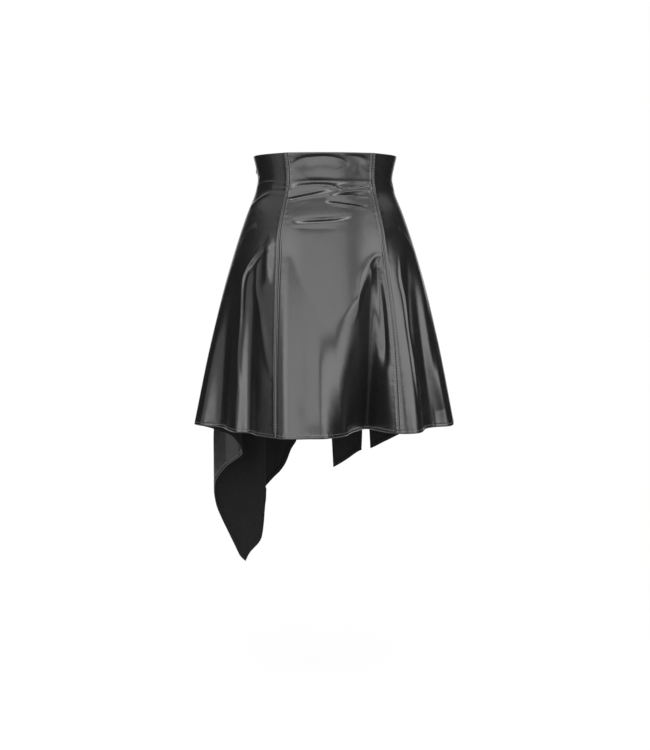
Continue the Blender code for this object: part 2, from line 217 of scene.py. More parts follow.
def through(knots, values, at):
    """A smooth cubic curve through the rows of a table, read inside it."""
    at = np.clip(at, knots[0], knots[-1])
    steps = np.diff(knots)
    slopes = np.diff(values) / steps
    tangents = np.empty_like(values)
    weighted = slopes[:-1] * steps[1:] + slopes[1:] * steps[:-1]
    tangents[1:-1] = weighted / (steps[1:] + steps[:-1])
    tangents[0], tangents[-1] = slopes[0], slopes[-1]
    i = np.clip(np.searchsorted(knots, at, side="right") - 1, 0, len(steps) - 1)
    t = (at - knots[i]) / steps[i]
    rise = t * t * (3 - 2 * t)
    bend = tangents[i] * t * (1 - t) ** 2 + tangents[i + 1] * t * t * (t - 1)
    return values[i] * (1 - rise) + values[i + 1] * rise + steps[i] * bend


def column(rows, name):
    return np.array([getattr(row, name) for row in rows], float)


def section_size(name, height):
    return through(column(SECTIONS, "height")[::-1], column(SECTIONS, name)[::-1], height)


def fold_value(name, angle):
    """A column of FOLD_LINES, which closes on itself."""
    angles = column(FOLD_LINES, "angle")
    knots = np.concatenate([angles - 360, angles, angles + 360])
    return through(knots, np.tile(column(FOLD_LINES, name), 3), angle)


def edge_angle(edge, height):
    points = edge.points
    height = np.asarray(height, float)
    if len(points) == 1:
        return np.full_like(height, points[0].angle)
    return through(column(points, "height")[::-1], column(points, "angle")[::-1], height)


def lower_edge(angle):
    """Where the cloth ends: on the free edge of the point, or past its tip on the hem."""
    free = through(column(FREE_EDGE, "angle"), column(FREE_EDGE, "height"), angle)
    hem = through(column(HEM_LINE, "angle"), column(HEM_LINE, "height"), angle)
    return np.where(angle < TIP_ANGLE, free, hem)


def front_share(angle):
    """0 at the centre back, 1 at the centre front."""
    return (1 - np.cos(np.radians(angle))) / 2


def flare_height(angle, height):
    """The height whose flare a place has. Cloth below the back hem hangs straight down."""
    reach = HANG_BLEND * front_share(angle) ** 3 + 0.001
    blend = np.clip((height - HEM + reach) / (2 * reach), 0, 1)
    return np.where(height > HEM + reach, height, HEM + reach * blend**2)


def corner_rise(angle, height):
    """How far the corners between the back gores stand out from the body."""
    rise = np.zeros(np.broadcast(angle, height).shape)
    for seam in (LEFT_BACK_SEAM, RIGHT_BACK_SEAM):
        away = np.hypot(angle - edge_angle(seam, height), CORNER_ROUND) - CORNER_ROUND
        rise = rise + CORNER_RISE * np.exp(-away / CORNER_SPREAD)
    share = np.clip((height - CORNER_END) / (CORNER_FULL - CORNER_END), 0, 1)
    return rise * share * share * (3 - 2 * share)


def body_point(angle, height):
    back = section_size("back_depth", height)
    front = section_size("front_depth", height)
    depth = back + (front - back) * front_share(angle)
    turn = np.radians(angle)
    plan = np.array([section_size("half_width", height) * np.sin(turn), -depth * np.cos(turn)])
    return plan * (1 + corner_rise(angle, height) / np.hypot(plan[0], plan[1]))


def skirt_point(angle, height):
    """(x, y, z) in millimetres: the fitted body, moved by the folds that start above."""
    angle, height = np.broadcast_arrays(np.asarray(angle, float), np.asarray(height, float))
    flare = flare_height(angle, height)
    start = fold_value("start", angle)
    grown = np.clip((start - flare) / (start - HEM), 0, 1)
    eased = np.where(grown < FOLD_SOFT, grown**2 / (2 * FOLD_SOFT), grown - FOLD_SOFT / 2)
    grown = eased / (1 - FOLD_SOFT / 2)
    foot = np.array([fold_value("foot_x", angle), fold_value("foot_y", angle)])
    plan = body_point(angle, flare) + grown * (foot - body_point(angle, HEM))
    return np.stack([plan[0], plan[1], height], axis=-1)


def along_girth(angle, height):
    """How the surface runs, in millimetres for each degree of angle."""
    small = 0.05
    ahead = skirt_point(angle + small, height)
    behind = skirt_point(angle - small, height)
    return (ahead - behind) / (2 * small)


def outward(angle, height):
    """The unit normal of the outer face."""
    small = 0.5
    up = skirt_point(angle, height + small) - skirt_point(angle, height - small)
    normal = np.cross(along_girth(angle, height), up)
    return normal / np.linalg.norm(normal, axis=-1, keepdims=True)


def inside_edge(angle, height, distance):
    """An angle moved round the girth by a distance on the cloth."""
    return angle + distance / np.linalg.norm(along_girth(angle, height), axis=-1)


# Close columns and rows of the mesh beside every edge, where the cloth is turned and stitched.
EDGE_BANDS = np.array([0, 0.3, 0.8, 1.5, 2.3, 3.2, 4.2, 5.2, 6.4, 7.6, 8.4, 9.6, 11.5, 14.0])
SEAM_ROW = 5  # the band that carries the topstitching beside a sewn seam
HEM_ROW = 7  # the band that carries it beside a turned edge
HALF_GAP = 0.06  # half the open line between two sewn gores
CREASED_TO = -110.0  # the creases of the waist lie above this, on closer rows
CREASED_ROWS = 0.65  # the rows there and below, as shares of the spacing of the columns
SMOOTH_ROWS = 1.25
TURNING = 8.0  # depth of a turned hem and of a seam allowance
TOP_FACING = 24.0  # depth of the facing inside the top edge


def smooth_step(value, low, high):
    share = np.clip((value - low) / (high - low), 0, 1)
    return share * share * (3 - 2 * share)


def hump(distance, width):
    return np.exp(-((distance / width) ** 2))


def wander(along, seed):
    """An uneven wave for puckers, from plain ones that never fall into step."""
    waves = ((9.7, 1.0), (15.1, 0.8), (26.3, 0.7))
    return sum(
        share * np.sin(2 * np.pi * along / length + seed * (3 + number))
        for number, (length, share) in enumerate(waves)
    )


# A soft trough or ridge in the leather: how far it reaches above and below its line, its rise
# (below zero for a trough), the share of an opposite lip under it, and the places it runs
# through, each (angle, height).
Crease = namedtuple("Crease", "above below rise lip places")
LIP_AWAY = 2.0  # from a crease to its lip, as a share of its reach below
BROAD = 6.0  # a crease that reaches this far is round, and a narrower one is pinched
CREASE_REACH = 3.6  # beyond this many times its reach, a crease has died away


def pinch(distance, width):
    """A profile with a crisper bottom than a hump."""
    return np.exp(-(np.abs(distance / width) ** 1.3))


def crease_rise(face, normals, creases):
    """How far the creases lift each place of the outer face."""
    rise = np.zeros(face.shape[:-1])
    for crease in creases:
        path = np.array(crease.places, float)
        knots = np.linspace(0, 1, len(path))
        share = np.linspace(0, 1, 8 * len(path))
        track = skirt_point(through(knots, path[:, 0], share), through(knots, path[:, 1], share))
        reach = CREASE_REACH * max(crease.above, crease.below)
        low, high = track.min(axis=0) - reach, track.max(axis=0) + reach
        near = ((face > low) & (face < high)).all(axis=-1)
        spots = face[near]
        best = np.full(len(spots), np.inf)
        where, side = np.zeros(len(spots)), np.zeros(len(spots))
        for number, (start, end) in enumerate(zip(track[:-1], track[1:])):
            step = end - start
            part = np.clip((spots - start) @ step / (step @ step), 0, 1)
            away = spots - start - part[:, None] * step
            distance = np.linalg.norm(away, axis=1)
            closer = distance < best
            upward = (away * np.cross(normals[near], step)).sum(axis=1)
            side = np.where(closer, np.sign(upward), side)
            where = np.where(closer, (number + part) / (len(track) - 1), where)
            best = np.where(closer, distance, best)
        taper = np.sin(np.pi * np.clip(where, 0.001, 0.999)) ** 0.8
        signed = best * side
        profile = hump if crease.above > BROAD else pinch
        shape = profile(signed, np.where(signed > 0, crease.above, crease.below))
        shape = shape - crease.lip * hump(signed + LIP_AWAY * crease.below, 1.1 * crease.below)
        rise[near] += crease.rise * taper * shape
    return rise


Gore = namedtuple("Gore", "name left_edge right_edge spacing seed creases")


def gore_grid(gore):
    """Angle and height of every point of a gore, with its distances from the four edges."""
    left, right = (edge_angle(edge, HEM) for edge in (gore.left_edge, gore.right_edge))
    angles = np.linspace(left, right, 601)
    steps = np.linalg.norm(np.diff(skirt_point(angles, HEM), axis=0), axis=1)
    travelled = np.concatenate([[0], np.cumsum(steps)])
    count = int(round(travelled[-1] / gore.spacing))
    shares = np.interp(np.linspace(0, travelled[-1], count + 1)[1:-1], travelled, angles)
    shares = (shares - left) / (right - left)
    if left < TIP_ANGLE:
        tip = (TIP_ANGLE - left) / (right - left)
        shares[np.argmin(np.abs(shares - tip))] = tip
    bands = len(EDGE_BANDS)

    def angle_of(heights):
        """heights has one number, or a stack of them, for each column."""
        low = edge_angle(gore.left_edge, heights)
        high = edge_angle(gore.right_edge, heights)
        girth = np.linalg.norm(along_girth((low + high) / 2, heights), axis=-1)
        first, inner, last = slice(None, bands), slice(bands, -bands), slice(-bands, None)
        result = np.empty_like(girth)
        for part, from_edge in ((first, EDGE_BANDS), (inner, EDGE_BANDS[-1])):
            start = inside_edge(low[..., part], heights[..., part], HALF_GAP + from_edge)
            result[..., part] = start
        at = heights[..., inner]
        stop = inside_edge(high[..., inner], at, -HALF_GAP - EDGE_BANDS[-1])
        result[..., inner] += (stop - result[..., inner]) * shares
        at = heights[..., last]
        result[..., last] = inside_edge(high[..., last], at, -HALF_GAP - EDGE_BANDS[::-1])
        return result

    total = len(shares) + 2 * bands
    high, low = np.full(total, TOP_EDGE), np.full(total, POINT - 1)
    for _ in range(30):
        middle = (high + low) / 2
        below = middle < lower_edge(angle_of(middle))
        low = np.where(below, middle, low)
        high = np.where(below, high, middle)
    foot = high
    run = np.gradient(skirt_point(angle_of(foot), foot), axis=0)
    level = np.linalg.norm(run[:, :2], axis=1)
    steep = np.clip(np.hypot(level, run[:, 2]) / level, 1, 3.5)
    top = TOP_EDGE - EDGE_BANDS[:, None] + 0 * foot
    bottom = foot + EDGE_BANDS[::-1, None] * steep
    creased = int(round((top[-1, 0] - CREASED_TO) / (CREASED_ROWS * gore.spacing)))
    smooth = int(round((CREASED_TO - bottom[0].min()) / (SMOOTH_ROWS * gore.spacing)))
    upper = np.linspace(top[-1], CREASED_TO + 0 * foot, creased + 1)[1:]
    lower = np.linspace(upper[-1], bottom[0], smooth + 1)[1:-1]
    heights = np.concatenate([top, upper, lower, bottom])
    angles = angle_of(heights)
    girth = np.linalg.norm(along_girth(angles, heights), axis=-1)
    from_left = (angles - edge_angle(gore.left_edge, heights)) * girth - HALF_GAP
    from_right = (edge_angle(gore.right_edge, heights) - angles) * girth - HALF_GAP
    return angles, heights, TOP_EDGE - heights, (heights - foot) / steep, from_left, from_right


def turned_edge(distance):
    """The rounding of a turned edge and the groove of its topstitching."""
    return -0.9 * hump(distance, 0.7) - 0.3 * hump(distance - EDGE_BANDS[HEM_ROW], 1.2)


def side_edge(distance, height, edge, seed):
    """The relief beside a sewn seam, and under the end of the sewing beside an open edge."""
    sewn = 0.3 * (1 - smooth_step(distance, TURNING - 3, TURNING + 3))
    sewn = sewn - 0.5 * hump(distance - EDGE_BANDS[SEAM_ROW], 0.9) - 0.9 * hump(distance, 0.9)
    pucker = 0.05 + 0.09 * smooth_step(-height, 60, 330)
    sewn = sewn + pucker * hump(distance - 6.5, 5.0) * wander(height, seed)
    open_share = smooth_step(edge.open_below - height, -6, 6)
    return sewn + (turned_edge(distance) - sewn) * open_share


def gore_faces(gore):
    """The finished outer face, the inner face, and the normals of the smooth body."""
    angles, heights, from_top, from_foot, from_left, from_right = gore_grid(gore)
    face = skirt_point(angles, heights)
    normals = outward(angles, heights)
    rise = crease_rise(face, normals, gore.creases)
    rise = rise + side_edge(from_left, heights, gore.left_edge, gore.seed)
    rise = rise + side_edge(from_right, heights, gore.right_edge, gore.seed + 1)
    rise = rise + turned_edge(from_foot) - 0.9 * hump(from_top, 0.7)
    rise = rise + 0.13 * hump(from_foot - 6, 5.0) * wander(4 * angles, gore.seed + 2)
    layers = [
        1 - smooth_step(distance, depth - 0.3, depth + 0.3)
        for distance, depth in (
            (from_left, TURNING),
            (from_right, TURNING),
            (from_foot, TURNING),
            (from_top, TOP_FACING),
        )
    ]
    rounded = np.maximum(hump(from_foot, 0.7), hump(from_top, 0.7))
    thickness = LEATHER + 0.9 * np.maximum.reduce(layers) - rounded
    inner = face + (np.minimum(rise, 0.6) - thickness)[..., None] * normals
    return face + rise[..., None] * normals, inner, normals, heights


def new_mesh(name, points, quads, materials, material_numbers=None):
    """A smooth mesh object made of four-sided faces, from points in millimetres."""
    mesh = bpy.data.meshes.new(name)
    mesh.vertices.add(len(points))
    mesh.vertices.foreach_set("co", (points * MM).astype(np.float32).ravel())
    mesh.loops.add(quads.size)
    mesh.loops.foreach_set("vertex_index", quads.astype(np.int32).ravel())
    mesh.polygons.add(len(quads))
    mesh.polygons.foreach_set("loop_start", np.arange(0, quads.size, 4, dtype=np.int32))
    for material in materials:
        mesh.materials.append(material)
    if material_numbers is not None:
        mesh.polygons.foreach_set("material_index", material_numbers.astype(np.int32))
    mesh.update(calc_edges=True)
    mesh.shade_smooth()
    made = bpy.data.objects.new(name, mesh)
    bpy.context.scene.collection.objects.link(made)
    return made


def leather_shell(gore, outer, inner):
    """A closed shell: leather outside and on the rim, backing inside."""
    rows, columns = outer.shape[:2]
    count = rows * columns
    number = np.arange(count).reshape(rows, columns)
    corners = (number[1:, :-1], number[1:, 1:], number[:-1, 1:], number[:-1, :-1])
    quads = np.stack(corners, axis=-1).reshape(-1, 4)
    border = np.concatenate([number[0, :-1], number[:-1, -1], number[-1, :0:-1], number[:0:-1, 0]])
    following = np.roll(border, -1)
    rim = np.stack([border, following, following + count, border + count], axis=-1)
    numbers = np.repeat([0, 1, 0], [len(quads), len(quads), len(rim)])
    piece = new_mesh(
        gore.name + "_leather",
        np.concatenate([outer.reshape(-1, 3), inner.reshape(-1, 3)]),
        np.concatenate([quads, quads[:, ::-1] + count, rim]),
        (LEATHER_FINISH, BACKING_FINISH),
        numbers,
    )
    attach(piece, "skirt")
    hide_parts(gore.name)
    return piece


# The topstitching is real thread: about five stitches to 25 mm, each sunk at both ends.
STITCH_PITCH = 5.4
STITCH_LENGTH = 3.0
THREAD = 0.42  # radius of the thread
THREAD_SIDES = 6
StitchRing = namedtuple("StitchRing", "along rise size")
STITCH_RINGS = (
    StitchRing(-0.52, -0.40, 0.25),
    StitchRing(-0.40, 0.05, 0.95),
    StitchRing(0.0, 0.20, 1.0),
    StitchRing(0.40, 0.05, 0.95),
    StitchRing(0.52, -0.40, 0.25),
)


def read_along(travelled, rows, at):
    return np.stack([np.interp(at, travelled, rows[:, axis]) for axis in range(3)], axis=-1)


def stitch_points(track, normals):
    """The rings of every stitch of one row, which follows a track on the finished face."""
    steps = np.linalg.norm(np.diff(track, axis=0), axis=1)
    travelled = np.concatenate([[0], np.cumsum(steps)])
    at = (np.arange(int(travelled[-1] // STITCH_PITCH)) + 0.5) * STITCH_PITCH
    middle = read_along(travelled, track, at)
    way = read_along(travelled, track, at + 1) - read_along(travelled, track, at - 1)
    way = way / np.linalg.norm(way, axis=1, keepdims=True)
    out = read_along(travelled, normals, at)
    out = out - (out * way).sum(axis=1, keepdims=True) * way
    out = out / np.linalg.norm(out, axis=1, keepdims=True)
    across = np.cross(out, way)
    turn = np.linspace(0, 2 * np.pi, THREAD_SIDES, endpoint=False)[:, None]
    rings = []
    for ring in STITCH_RINGS:
        centre = middle + ring.along * STITCH_LENGTH * way + ring.rise * out
        circle = np.cos(turn) * across[:, None] + np.sin(turn) * out[:, None]
        rings.append(centre[:, None] + THREAD * ring.size * circle)
    return np.stack(rings, axis=1)


def closed_tubes(name, rings, material):
    """Tubes as one mesh, from points in millimetres in the order tube, ring and side."""
    tubes, count = rings.shape[:2]
    corner = np.arange(THREAD_SIDES)
    ring_start = THREAD_SIDES * np.arange(count - 1)[:, None]
    near, far = ring_start + corner, ring_start + np.roll(corner, -1)
    around = np.stack([near, far, far + THREAD_SIDES, near + THREAD_SIDES], axis=-1)
    # Two four-sided faces close each end of a six-sided tube.
    ends = np.array([[5, 4, 3, 2], [5, 2, 1, 0], [2, 3, 4, 5], [0, 1, 2, 5]])
    ends[2:] += THREAD_SIDES * (count - 1)
    pattern = np.concatenate([around.reshape(-1, 4), ends])
    quads = pattern + THREAD_SIDES * count * np.arange(tubes)[:, None, None]
    return new_mesh(name, rings.reshape(-1, 3), quads.reshape(-1, 4), (material,))


def sew(gore, outer, normals, heights):
    """All the stitches of a gore as one piece: beside both edges, then along the hem."""
    rows = []
    for column_from, edge in ((1, gore.left_edge), (-1, gore.right_edge)):
        for band, sewn in ((SEAM_ROW, True), (HEM_ROW, False)):
            line = band if column_from > 0 else -1 - band
            used = (heights[:, line] > edge.open_below) == sewn
            used[:3] = False
            used[-1 - HEM_ROW :] = False
            if used.any():
                rows.append(stitch_points(outer[used, line], normals[used, line]))
    line = -1 - HEM_ROW
    inside = slice(SEAM_ROW, -1 - SEAM_ROW)
    rows.append(stitch_points(outer[line, inside], normals[line, inside]))
    thread = closed_tubes(gore.name + "_stitches", np.concatenate(rows), GLINT_PAINTED_THREAD_FINISH)
    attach(thread, "skirt")
    return thread


def make_gore(gore):
    """One gore with its stitches."""
    outer, inner, normals, heights = gore_faces(gore)
    piece = leather_shell(gore, outer, inner)
    thread = sew(gore, outer, normals, heights)


def add_group(name, inputs, outputs):
    """An empty shader node group. Each input is (name, kind, value), each output (name, kind)."""
    group = bpy.data.node_groups.new(name, "ShaderNodeTree")
    for label, kind, value in inputs:
        socket = group.interface.new_socket(label, in_out="INPUT", socket_type=kind)
        if value is not None:
            socket.default_value = value
    for label, kind in outputs:
        group.interface.new_socket(label, in_out="OUTPUT", socket_type=kind)
    return group, group.nodes.new("NodeGroupInput"), group.nodes.new("NodeGroupOutput")


def set_inputs(tree, node, values):
    """Sets a node's inputs by name or number: a plain value is kept, and a socket is linked."""
    for key, value in values.items():
        if isinstance(value, (int, float, tuple)):
            node.inputs[key].default_value = value
        else:
            tree.links.new(value, node.inputs[key])


def value_node(tree, operation, first, second):
    """A Math node. Its two numbers are sockets or plain values."""
    node = tree.nodes.new("ShaderNodeMath")
    node.operation = operation
    set_inputs(tree, node, {0: first, 1: second})
    return node.outputs[0]


def blend_colours(tree, share, first, second):
    node = tree.nodes.new("ShaderNodeMix")
    node.data_type = "RGBA"
    set_inputs(tree, node, {"Factor": share, 6: first, 7: second})
    return node.outputs[2]


def noise_node(tree, vector, scale, detail=2.0):
    node = tree.nodes.new("ShaderNodeTexNoise")
    set_inputs(tree, node, {"Vector": vector, "Scale": scale, "Detail": detail})
    return node.outputs["Fac"]


def make_grain_group():
    """Embossed grain: fine pebbles, a slow unevenness of the coating and faint clouding."""
    group, given, result = add_group(
        "embossed_grain",
        (
            ("Vector", "NodeSocketVector", None),
            ("Pebbles per Metre", "NodeSocketFloat", 1300.0),
            ("Unevenness per Metre", "NodeSocketFloat", 60.0),
            ("Colour Low", "NodeSocketColor", (0.006, 0.006, 0.0065, 1)),
            ("Colour High", "NodeSocketColor", (0.011, 0.011, 0.0115, 1)),
        ),
        (
            ("Color", "NodeSocketColor"),
            ("Pebbles", "NodeSocketFloat"),
            ("Unevenness", "NodeSocketFloat"),
            ("Clouding", "NodeSocketFloat"),
        ),
    )
    vector = given.outputs["Vector"]
    cells = group.nodes.new("ShaderNodeTexVoronoi")
    cells.feature = "SMOOTH_F1"
    pebble_scale = given.outputs["Pebbles per Metre"]
    set_inputs(group, cells, {"Vector": vector, "Scale": pebble_scale, "Smoothness": 0.6})
    pebbles = value_node(group, "SUBTRACT", 1.0, cells.outputs["Distance"])
    uneven = noise_node(group, vector, given.outputs["Unevenness per Metre"], 1.0)
    cloud_scale = value_node(group, "MULTIPLY", given.outputs["Unevenness per Metre"], 0.25)
    clouds = noise_node(group, vector, cloud_scale, 2.0)
    share = value_node(group, "MULTIPLY", pebbles, clouds)
    colour = blend_colours(
        group, share, given.outputs["Colour Low"], given.outputs["Colour High"]
    )
    made = {"Color": colour, "Pebbles": pebbles, "Unevenness": uneven, "Clouding": clouds}
    set_inputs(group, result, made)
    return group


def start_material(name):
    """A material with its shader and the piece's own coordinates in metres."""
    material = bpy.data.materials.new(name)
    material.use_nodes = True
    tree = material.node_tree
    place = tree.nodes.new("ShaderNodeTexCoord").outputs["Object"]
    return material, tree, tree.nodes["Principled BSDF"], place


def add_bump(tree, height, distance, strength=1.0, under=None):
    bump = tree.nodes.new("ShaderNodeBump")
    set_inputs(tree, bump, {"Height": height, "Distance": distance, "Strength": strength})
    if under is not None:
        tree.links.new(under, bump.inputs["Normal"])
    return bump.outputs["Normal"]


def map_range(tree, value, low, high):
    """The middle of a noise, 0.3 to 0.7, spread from low to high."""
    node = tree.nodes.new("ShaderNodeMapRange")
    span = {"From Min": 0.3, "From Max": 0.7, "To Min": low, "To Max": high}
    set_inputs(tree, node, {"Value": value, **span})
    return node.outputs["Result"]


GRAIN_GROUP = make_grain_group()


def make_grained(name, roughness, gloss, pebble_bump, slow_bump=None, settings=None):
    """A material on the grain. A bump is its (height, strength), pebbles over unevenness."""
    material, tree, shader, place = start_material(name)
    grain = tree.nodes.new("ShaderNodeGroup")
    grain.node_tree = GRAIN_GROUP
    set_inputs(tree, grain, {"Vector": place, **(settings or {})})
    slow = slow_bump and add_bump(tree, grain.outputs["Unevenness"], *slow_bump)
    look = {
        "Base Color": grain.outputs["Color"],
        "Roughness": map_range(tree, grain.outputs["Clouding"], *roughness),
        "Specular IOR Level": gloss,
        "Normal": add_bump(tree, grain.outputs["Pebbles"], *pebble_bump, slow),
    }
    set_inputs(tree, shader, look)
    return material


# Black coated leather with a soft satin shine.
LEATHER_FINISH = make_grained(
    "black_satin_leather", (0.22, 0.28), 0.5, (0.00003, 0.6), (0.00025, 1.0)
)
# Its knitted backing cloth: matt black, with fine ribs.
BACKING_FINISH = make_grained(
    "black_knitted_backing",
    (0.86, 0.96),
    0.15,
    (0.0002, 0.8),
    (0.0004, 1.0),
    {
        "Pebbles per Metre": 900.0,
        "Unevenness per Metre": 240.0,
        "Colour Low": (0.006, 0.006, 0.006, 1),
        "Colour High": (0.011, 0.0105, 0.010, 1),
    },
)
# Black polyester sewing thread, coloured light grey instead of black: the grey is a painted glint
# of light on the stitches.
GLINT_PAINTED_THREAD_FINISH = make_grained(
    "thread_with_painted_glint",
    (0.36, 0.46),
    0.6,
    (0.0001, 1.0),
    settings={
        "Pebbles per Metre": 3000.0,
        # This grey is painted highlight standing in for the shine of black thread, not the
        # thread's own colour.
        "Colour Low": (0.11, 0.11, 0.112, 1),
        "Colour High": (0.19, 0.19, 0.192, 1),
    },
)

BACK_CENTRE_CREASES = (
    Crease(
        5.5, 6.5, -3.9, 0,
        (
            (-50, -14), (-30, -13), (-19, -11.5), (-10, -10.5), (0, -10.5), (12, -11), (41, -10),
            (58, -9),
        ),
    ),
    Crease(
        4.6, 2.4, 1.9, 0,
        (
            (-31, -33), (-27, -27), (-20.5, -20.5), (-11.5, -18), (0.5, -18.5), (8, -22),
            (10, -25), (8, -28.5), (2.5, -32), (-8, -39),
        ),
    ),
    Crease(3.4, 4.0, -3.3, 0, ((9, -22), (18.5, -21), (27, -18.5), (44, -12))),
    Crease(
        4.2, 3.6, -2.9, 0.3,
        ((-35, -42), (-26, -37.5), (-19, -33.5), (-11, -30), (-3.5, -26.5), (6, -22)),
    ),
    Crease(3.2, 5.0, -2.4, 0, ((3, -33), (12, -29.5), (23, -27), (46, -24))),
    Crease(2.2, 2.2, 1.2, 0, ((3, -38), (12, -37.5), (22, -37), (36, -38.5))),
    Crease(4.0, 3.0, -2.5, 0.35, ((0, -45), (9, -46.5), (19.5, -49.5), (32, -54))),
    Crease(2.8, 3.8, -2.8, 0.25, ((-22, -82), (-12, -80), (-2, -78.5), (8, -76.5), (20, -71.5))),
    Crease(3.0, 5.0, -0.6, 0, ((-22, -94), (-8, -96), (8, -96))),
    Crease(
        4.0, 6.0, -1.6, 0.2,
        ((-27, 10), (-24.5, 21), (-19, 28.5), (-9, 32), (2, 32.5), (11, 29), (17, 22), (18, 14)),
    ),
    Crease(3.6, 5.0, -1.5, 0.2, ((15, 34), (24, 33.5), (31, 30.5), (36, 24))),
    Crease(11.0, 11.0, 0.7, 0, ((-17, -2), (-13, 14), (-11, 30))),
    Crease(8.0, 8.0, 0.8, 0, ((27, 0), (27, 12), (26, 26))),
    Crease(
        4.5, 4.5, 1.7, 0.4,
        (
            (14, -272), (17.5, -241), (18.5, -209), (21, -179), (25, -161), (30, -147),
            (34, -143), (36, -149), (36.3, -172), (36, -235), (37, -325), (38, -400),
        ),
    ),
    Crease(6.0, 6.0, 1.6, 0, ((27, -160), (27.5, -178), (27, -200))),
    Crease(3.6, 5.0, -1.6, 0, ((33, -152), (33.5, -185), (34, -235))),
    Crease(9.0, 9.0, 0.8, 0, ((-15, -190), (-14, -300), (-13, -410))),
    Crease(30.0, 20.0, 7.5, 0, ((-19, -466), (-5, -470), (10, -468))),
    Crease(7.0, 9.0, -7.0, 0, ((34.6, -165), (34.8, -225), (35.6, -290), (36.4, -350))),
)

make_gore(
    Gore("back_centre", LEFT_BACK_SEAM, RIGHT_BACK_SEAM, 2.1, 1.3, BACK_CENTRE_CREASES),
)

# ----------------------------------------------------------
# The left back gore, from the zip to the left back seam. The same leather, sewn the same way.
# ----------------------------------------------------------
LEFT_SIDE_SEAM = SeamEdge((EdgePoint(TOP_EDGE, -106),), SEWN_THROUGHOUT)
BACK_LEFT_CREASES = (
    Crease(2.6, 2.6, 1.1, 0, ((-88, -17), (-57.5, -10), (-32, -13))),
    Crease(2.5, 3.5, -1.3, 0.2, ((-48, -17.5), (-38, -18), (-28, -17.5))),
    Crease(2.5, 3.5, -1.0, 0.2, ((-48, -25), (-38, -26), (-28, -27))),
    Crease(2.8, 2.8, 1.4, 0, ((-80, -56), (-74, -50.5), (-60, -37), (-47, -29))),
    Crease(3.0, 3.0, 1.0, 0, ((-79, -4), (-70, 3), (-58, 15))),
    Crease(7.0, 7.0, 1.2, 0, ((-70, -140), (-64, -107), (-54, -88))),
    Crease(
        3.2, 3.2, 2.4, 0.5,
        (
            (-53, -390), (-55, -330), (-55.3, -260), (-56.4, -222), (-57, -197), (-56, -177),
            (-51, -154), (-45, -137.5), (-37.5, -128.5), (-31, -120),
        ),
    ),
    Crease(3.1, 4.2, -1.8, 0, ((-52, -172), (-49, -162), (-44, -146), (-39, -136))),
    Crease(4.0, 4.0, 1.3, 0, ((-39, -134), (-45, -158), (-45, -190), (-43.5, -215), (-40, -240))),
    Crease(8.0, 8.0, 1.7, 0, ((-46, -190), (-42, -225), (-37, -275), (-34, -320), (-30.5, -362))),
    Crease(3.6, 5.0, -1.2, 0, ((-58, -185), (-57.5, -250), (-57, -330))),
    Crease(8.5, 8.0, 3.2, 0, ((-35.5, -104), (-37, -138), (-36.3, -168), (-34.8, -200))),
)
make_gore(
    Gore("back_left", LEFT_SIDE_SEAM, LEFT_BACK_SEAM, 2.2, 2.7, BACK_LEFT_CREASES),
)

# ----------------------------------------------------------
# The right back gore, from the right back seam to the right side seam.
# ----------------------------------------------------------
RIGHT_SIDE_SEAM = SeamEdge((EdgePoint(TOP_EDGE, 101),), SEWN_THROUGHOUT)
BACK_RIGHT_CREASES = (
    Crease(2.8, 2.8, 1.2, 0, ((50, 16), (63, -5), (77.5, -8.5), (90, -22))),
    Crease(2.8, 2.8, 1.2, 0, ((52, -5), (69.5, -13), (88, -25))),
    Crease(7.0, 7.0, 1.4, 0, ((60, -92), (66, -112), (72, -130))),
    Crease(
        2.6, 2.6, 1.5, 0.5,
        ((52, -139), (50, -184), (51.5, -223), (52, -274), (53, -340), (54.5, -415), (55, -455)),
    ),
    Crease(
        10.0, 10.0, -7.5, 0,
        ((60, -140), (58, -185), (56.5, -235), (55.5, -285), (57, -335), (60, -385)),
    ),
    Crease(
        15.0, 15.0, 8.0, 0,
        ((71, -140), (69.5, -200), (68, -260), (68, -320), (70, -380), (72, -430)),
    ),
    Crease(7.0, 7.0, 1.6, 0, ((73, -280), (73.5, -335), (73, -400), (74, -450))),
)
make_gore(
    Gore("back_right", RIGHT_BACK_SEAM, RIGHT_SIDE_SEAM, 2.2, 4.1, BACK_RIGHT_CREASES),
)

# ----------------------------------------------------------
# The right front gore. Its front edge is sewn to the strip above and open below, at a short slit.
# ----------------------------------------------------------
SHORT_SLIT_SIDE = SeamEdge((EdgePoint(SHORT_SLIT_TOP, 158), EdgePoint(-536, 155)), SHORT_SLIT_TOP)
FRONT_RIGHT_CREASES = (
    Crease(4.0, 5.6, -1.6, 0.5, ((104, -12), (125, -8), (150, -12))),
    Crease(4.0, 5.6, -1.2, 0.4, ((112, -35), (130, -42), (146, -40))),
    Crease(4.5, 6.2, -0.8, 0.4, ((120, 26), (135, 31), (150, 28))),
)
make_gore(
    Gore("front_right", RIGHT_SIDE_SEAM, SHORT_SLIT_SIDE, 2.8, 5.9, FRONT_RIGHT_CREASES),
)

# ----------------------------------------------------------
# The front strip, a narrow gore between the short slit and the centre front slit.
# ----------------------------------------------------------
SHORT_SLIT_FRONT = SeamEdge((EdgePoint(SHORT_SLIT_TOP, 158), EdgePoint(-536, 161)), SHORT_SLIT_TOP)
STRIP_EDGE = SeamEdge(
    (EdgePoint(SLIT_TOP, 185), EdgePoint(-420, 180.5), EdgePoint(-578, 178.5)), SLIT_TOP
)
FRONT_STRIP_CREASES = (
    Crease(3.6, 5.0, -1.3, 0.4, ((159, -9), (172, -6), (184, -10))),
    Crease(3.6, 5.0, -1.0, 0.4, ((161, -45), (172, -48), (183, -44))),
)
make_gore(
    Gore("front_strip", SHORT_SLIT_FRONT, STRIP_EDGE, 2.8, 7.3, FRONT_STRIP_CREASES),
)

